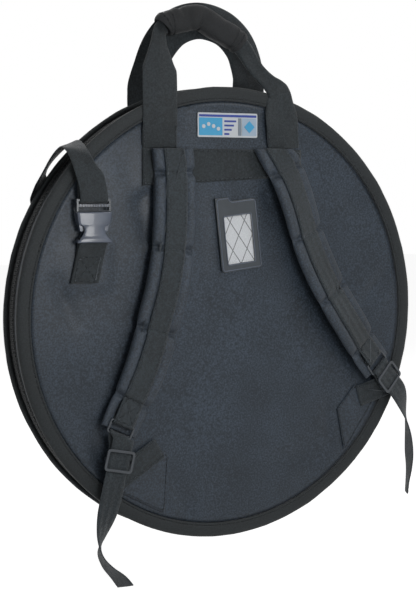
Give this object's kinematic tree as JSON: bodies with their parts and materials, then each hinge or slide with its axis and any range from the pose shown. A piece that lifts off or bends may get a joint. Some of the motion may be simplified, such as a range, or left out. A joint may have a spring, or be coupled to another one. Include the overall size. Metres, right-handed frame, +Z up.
{
  "type": "cymbal bag",
  "caption": "Round padded soft bag for cymbals, with a zipped cover, two carrying handles, rucksack straps, a side release closure strap and a card holder.",
  "frame": {"origin": "the place where a hand or a hook holds the bag, between its two handles and straight above the centre of the round body", "axes": "+Z up from the body to the handles, +Y from the strap side to the zipped cover, +X to the right when one looks at the strap side"},
  "size_m": [0.6053, 0.0952, 0.7678],
  "materials": {
    "black_nylon": "woven black nylon, slightly grey in the light",
    "black_webbing": "black twill webbing",
    "binding_tape": "black grosgrain binding",
    "foam": "grey closed cell foam, hidden",
    "lining": "plain black lining",
    "grey_plastic": "moulded dark grey plastic, semi gloss",
    "dark_plastic": "moulded black plastic",
    "zip_tape": "black zip tape with coil teeth",
    "zip_metal": "dark coated metal",
    "badge_rubber": "moulded soft label in blue, white and grey fields",
    "card": "white card with a pale lattice",
    "clear_window": "clear window"
  },
  "bodies": {
    "back_shell": {"back_panel": "black_nylon", "back_foam": "foam", "back_lining": "lining", "back_binding": "binding_tape", "gusset": "black_nylon", "hinge_panel": "black_nylon", "zip_tape_back": "zip_tape", "yoke_patch": "black_webbing", "badge": "badge_rubber", "id_holder_frame": "dark_plastic", "id_holder_window": "clear_window", "buckle_tab": "black_webbing", "buckle_female": "grey_plastic", "buckle_male": "grey_plastic", "closure_strap": "black_webbing", "anchor_tab_left": "black_nylon", "anchor_tab_right": "black_nylon", "back_handle_leg_left": "black_webbing", "back_handle_leg_right": "black_webbing"},
    "front_cover": {"front_panel": "black_nylon", "front_foam": "foam", "front_lining": "lining", "front_binding": "binding_tape", "zip_tape_front": "zip_tape", "front_handle_leg_left": "black_webbing", "front_handle_leg_right": "black_webbing", "closure_anchor": "black_webbing"},
    "back_handle": {"back_handle_webbing": "black_webbing", "carry_grip": "black_nylon"},
    "front_handle": {"front_handle_webbing": "black_webbing"},
    "left_strap": {"pad_left": "black_nylon", "pad_webbing_left": "black_webbing", "ring_loop_left": "black_webbing", "ring_left": "grey_plastic", "adjuster_webbing_left": "black_webbing", "anchor_webbing_left": "black_webbing"},
    "right_strap": {"pad_right": "black_nylon", "pad_webbing_right": "black_webbing", "ring_loop_right": "black_webbing", "ring_right": "grey_plastic", "adjuster_webbing_right": "black_webbing", "anchor_webbing_right": "black_webbing"},
    "left_glide": {"tri_glide_left": "grey_plastic"},
    "right_glide": {"tri_glide_right": "grey_plastic"},
    "left_slider": {"zip_slider_left": "zip_metal"},
    "right_slider": {"zip_slider_right": "zip_metal"},
    "left_pull": {"zip_pull_left": "zip_metal"},
    "right_pull": {"zip_pull_right": "zip_metal"},
    "left_prong": {"buckle_prong_left": "grey_plastic"},
    "right_prong": {"buckle_prong_right": "grey_plastic"},
    "card": {"id_card": "card"},
    "first_divider": {"divider_1": "lining"},
    "second_divider": {"divider_2": "lining"}
  },
  "joints": [
    {"name": "cover_hinge", "type": "hinge", "parent": "back_shell", "child": "front_cover", "pos_m": [0, 0.018, -0.6783], "axis": [-1, 0, 0], "range_deg": [0, 150]},
    {"name": "divider_1_fold", "type": "hinge", "parent": "back_shell", "child": "first_divider", "pos_m": [0, 0.018, -0.6783], "axis": [-1, 0, 0], "range_deg": [0, 50]},
    {"name": "divider_2_fold", "type": "hinge", "parent": "back_shell", "child": "second_divider", "pos_m": [0, 0.018, -0.6783], "axis": [-1, 0, 0], "range_deg": [0, 100]},
    {"name": "back_handle_fold", "type": "hinge", "parent": "back_shell", "child": "back_handle", "pos_m": [0, -0.0272, -0.086], "axis": [1, 0, 0], "range_deg": [0, 110]},
    {"name": "front_handle_fold", "type": "hinge", "parent": "front_cover", "child": "front_handle", "pos_m": [0, 0.0272, -0.086], "axis": [-1, 0, 0], "range_deg": [0, 110]},
    {"name": "left_strap_lift", "type": "hinge", "parent": "back_shell", "child": "left_strap", "pos_m": [-0.038, -0.0242, -0.16], "axis": [0.1043, 0, 0.9945], "range_deg": [0, 60]},
    {"name": "right_strap_lift", "type": "hinge", "parent": "back_shell", "child": "right_strap", "pos_m": [0.03, -0.0242, -0.16], "axis": [0.3536, 0, -0.9354], "range_deg": [0, 60]},
    {"name": "left_glide_slide", "type": "slide", "parent": "left_strap", "child": "left_glide", "axis": [-0.2103, 0.0501, -0.9764], "range_m": [0, 0.028]},
    {"name": "right_glide_slide", "type": "slide", "parent": "right_strap", "child": "right_glide", "axis": [0.6689, 0.0637, -0.7406], "range_m": [0, 0.008]},
    {"name": "left_slider_travel", "type": "hinge", "parent": "back_shell", "child": "left_slider", "pos_m": [0, 0.0085, -0.378], "axis": [0, -1, 0], "range_deg": [0, 155]},
    {"name": "right_slider_travel", "type": "hinge", "parent": "back_shell", "child": "right_slider", "pos_m": [0, 0.0085, -0.378], "axis": [0, 1, 0], "range_deg": [0, 155]},
    {"name": "left_pull_swing", "type": "hinge", "parent": "left_slider", "child": "left_pull", "pos_m": [-0.01161, 0.0085, -0.08048], "axis": [0, 1, 0], "range_deg": [0, 100]},
    {"name": "right_pull_swing", "type": "hinge", "parent": "right_slider", "child": "right_pull", "pos_m": [0.01161, 0.0085, -0.08048], "axis": [0, -1, 0], "range_deg": [0, 100]},
    {"name": "left_prong_squeeze", "type": "hinge", "parent": "back_shell", "child": "left_prong", "pos_m": [-0.215, -0.029, -0.241], "axis": [0, -1, 0], "range_deg": [0, 8], "stiffness_Nm_per_rad": 0.5},
    {"name": "right_prong_squeeze", "type": "hinge", "parent": "back_shell", "child": "right_prong", "pos_m": [-0.181, -0.029, -0.241], "axis": [0, 1, 0], "range_deg": [0, 8], "stiffness_Nm_per_rad": 0.5},
    {"name": "card_slide", "type": "slide", "parent": "back_shell", "child": "card", "axis": [-0.1132, 0, 0.9936], "range_m": [0, 0.05]}
  ],
  "couplings": [
    {"joint": "divider_1_fold", "follows": "cover_hinge", "ratio": 0.33333},
    {"joint": "divider_2_fold", "follows": "cover_hinge", "ratio": 0.66667},
    {"joint": "right_prong_squeeze", "follows": "left_prong_squeeze", "ratio": 1}
  ]
}
